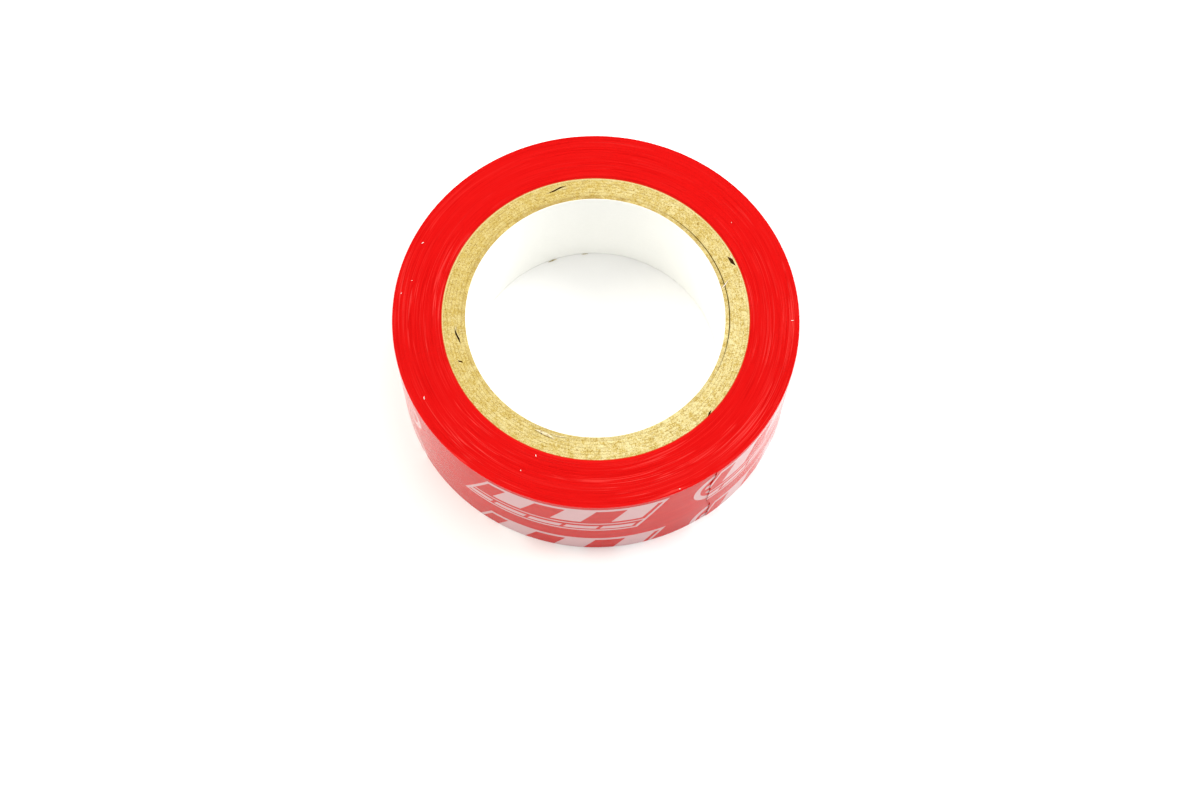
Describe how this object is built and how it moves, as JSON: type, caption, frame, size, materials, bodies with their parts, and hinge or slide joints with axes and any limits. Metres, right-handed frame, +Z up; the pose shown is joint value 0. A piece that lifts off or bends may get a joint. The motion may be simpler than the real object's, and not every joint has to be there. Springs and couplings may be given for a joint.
{
  "type": "electrical tape roll",
  "caption": "Roll of coloured PVC electrical tape wound on a spirally wound board core with an open bore, with a free end that peels off the last turn.",
  "frame": {"origin": "centre of the lower end face, on the surface that the roll lies on", "axes": "+Z up along the roll's axis; the ribbon's free end is at -56 degrees round +Z, counted from +X"},
  "size_m": [0.0603, 0.0602, 0.019],
  "materials": {
    "liner_paper": "matte",
    "core_board": "matte",
    "tape_edge": "satin",
    "printed_film": "gloss"
  },
  "bodies": {
    "roll": {"core_liner_ply": "liner_paper", "core_board_ply_1": "core_board", "core_board_ply_2": "core_board", "core_board_ply_3": "core_board", "core_board_ply_4": "core_board", "core_board_ply_5": "core_board", "core_wrap_ply": "core_board", "tape_winding": "tape_edge", "tape_last_turn": "printed_film"},
    "tail": {"tape_tail": "printed_film"},
    "tab": {"tape_tail_tab": "printed_film"}
  },
  "joints": [
    {"name": "tail_peel", "type": "hinge", "parent": "roll", "child": "tail", "pos_m": [0.02713, -0.01323, 0.0095], "axis": [0, 0, 1], "range_deg": [0, 75]},
    {"name": "tab_curl", "type": "hinge", "parent": "tail", "child": "tab", "pos_m": [0.02172, -0.02098, 0.0095], "axis": [0, 0, 1], "range_deg": [0, 55]}
  ]
}
